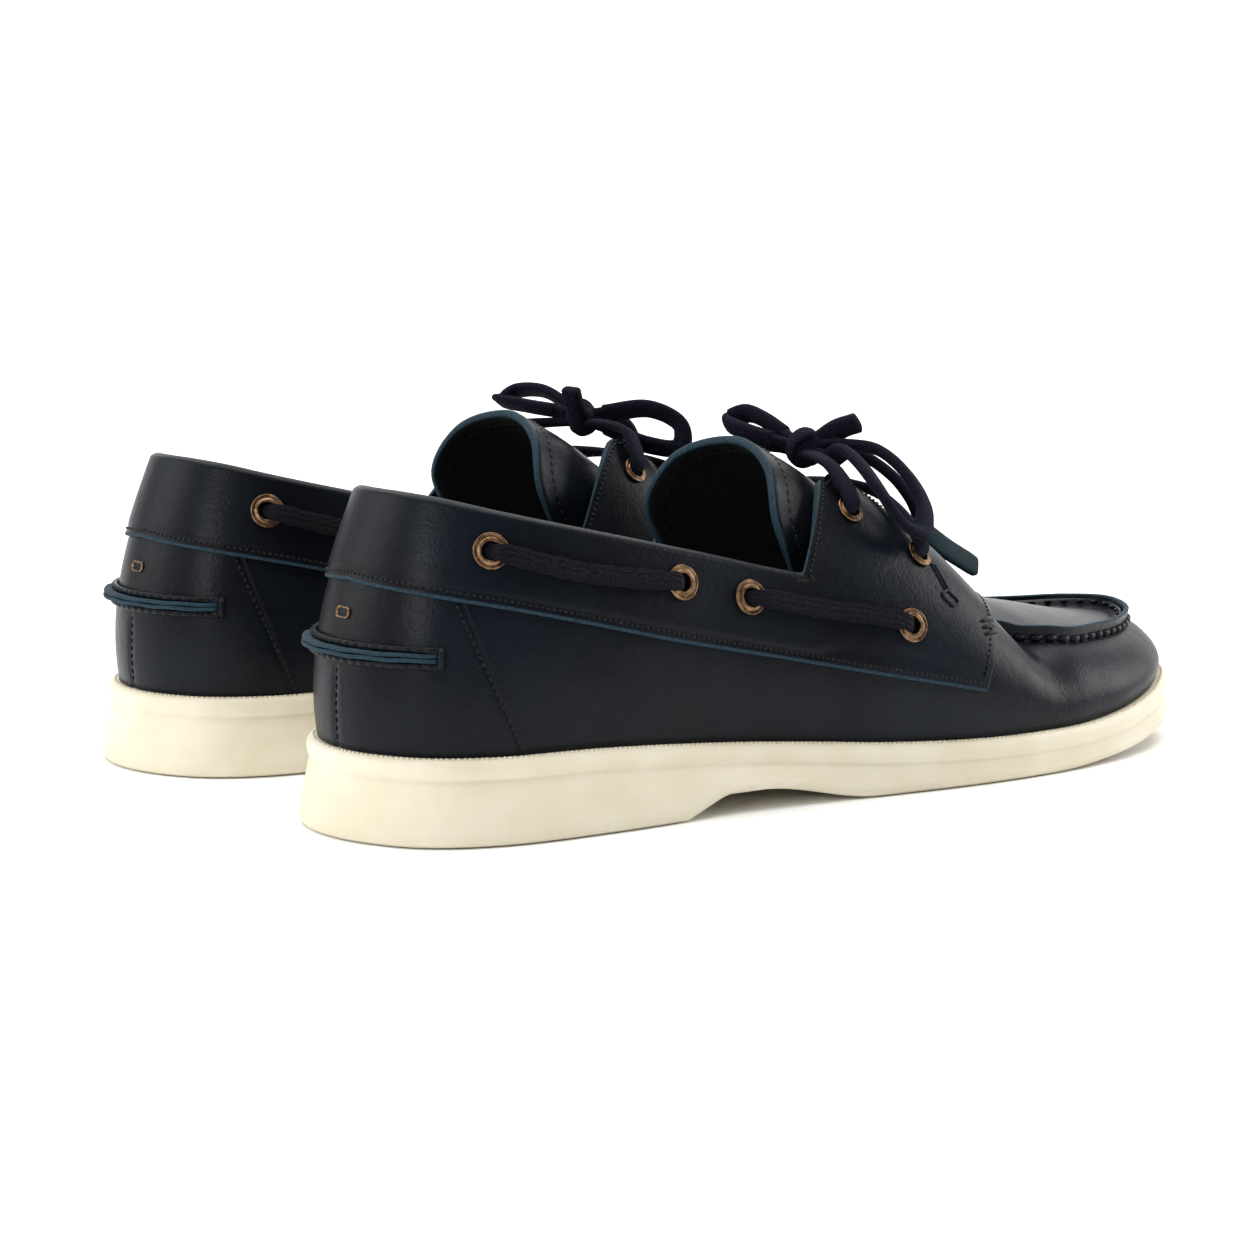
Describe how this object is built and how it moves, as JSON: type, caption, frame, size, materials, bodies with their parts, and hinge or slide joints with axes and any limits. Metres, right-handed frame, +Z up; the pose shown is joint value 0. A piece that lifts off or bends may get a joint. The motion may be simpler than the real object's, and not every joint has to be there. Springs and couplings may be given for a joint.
{
  "type": "deck shoes",
  "caption": "Pair of low moccasin-toe deck shoes with leather uppers, rawhide side lacing through brass eyelets, tied bows and a cream rubber unit sole",
  "frame": {"origin": "middle of the pair on the ground, below the centre of its box without the loose lace ends", "axes": "+X towards the toes, +Y to the wearer's left, +Z up"},
  "size_m": [0.2984, 0.2248, 0.1039],
  "materials": {
    "navy_leather": "smooth pull-up, satin",
    "black_lining": "matte",
    "navy_lace": "suede",
    "teal_leather": "raw, matte",
    "cream_rubber": "matte",
    "aged_brass": "antique, satin",
    "footbed_foam": "foam"
  },
  "bodies": {
    "right_shoe": {"right_apron": "navy_leather", "right_collar": "navy_leather", "right_eyelet_front_lateral": "aged_brass", "right_eyelet_front_medial": "aged_brass", "right_eyelet_heel_lateral": "aged_brass", "right_eyelet_heel_medial": "aged_brass", "right_eyelet_rear_lateral": "aged_brass", "right_eyelet_rear_medial": "aged_brass", "right_eyelet_throat_lateral": "aged_brass", "right_eyelet_throat_medial": "aged_brass", "right_eyelet_top_lateral": "aged_brass", "right_eyelet_top_medial": "aged_brass", "right_eyelet_waist_lateral": "aged_brass", "right_eyelet_waist_medial": "aged_brass", "right_footbed": "footbed_foam", "right_heel_patch": "navy_leather", "right_heel_roll": "navy_leather", "right_heel_stud": "aged_brass", "right_insole": "navy_leather", "right_lace_front": "navy_lace", "right_lace_knot": "navy_lace", "right_lace_loop_inner": "navy_lace", "right_lace_loop_outer": "navy_lace", "right_lace_side": "navy_lace", "right_lace_tail": "navy_lace", "right_lace_tip": "teal_leather", "right_lining": "black_lining", "right_outsole": "cream_rubber", "right_vamp": "navy_leather"},
    "right_tongue": {"right_tongue": "navy_leather"},
    "left_shoe": {"left_apron": "navy_leather", "left_collar": "navy_leather", "left_eyelet_front_lateral": "aged_brass", "left_eyelet_front_medial": "aged_brass", "left_eyelet_heel_lateral": "aged_brass", "left_eyelet_heel_medial": "aged_brass", "left_eyelet_rear_lateral": "aged_brass", "left_eyelet_rear_medial": "aged_brass", "left_eyelet_throat_lateral": "aged_brass", "left_eyelet_throat_medial": "aged_brass", "left_eyelet_top_lateral": "aged_brass", "left_eyelet_top_medial": "aged_brass", "left_eyelet_waist_lateral": "aged_brass", "left_eyelet_waist_medial": "aged_brass", "left_footbed": "footbed_foam", "left_heel_patch": "navy_leather", "left_heel_roll": "navy_leather", "left_heel_stud": "aged_brass", "left_insole": "navy_leather", "left_lace_front": "navy_lace", "left_lace_knot": "navy_lace", "left_lace_loop_inner": "navy_lace", "left_lace_loop_outer": "navy_lace", "left_lace_side": "navy_lace", "left_lace_tail": "navy_lace", "left_lace_tip": "teal_leather", "left_lining": "black_lining", "left_outsole": "cream_rubber", "left_vamp": "navy_leather"},
    "left_tongue": {"left_tongue": "navy_leather"}
  },
  "joints": [
    {"name": "left_shoe_lift", "type": "slide", "parent": "right_shoe", "child": "left_shoe", "axis": [0, 0, 1], "range_m": [0, 0.15]},
    {"name": "right_tongue_flex", "type": "hinge", "parent": "right_shoe", "child": "right_tongue", "pos_m": [0.0563, -0.05625, 0.052], "axis": [0, 1, 0], "range_deg": [-8, 0], "stiffness_Nm_per_rad": 0.6},
    {"name": "left_tongue_flex", "type": "hinge", "parent": "left_shoe", "child": "left_tongue", "pos_m": [0.0563, 0.05625, 0.052], "axis": [0, 1, 0], "range_deg": [-8, 0], "stiffness_Nm_per_rad": 0.6}
  ]
}
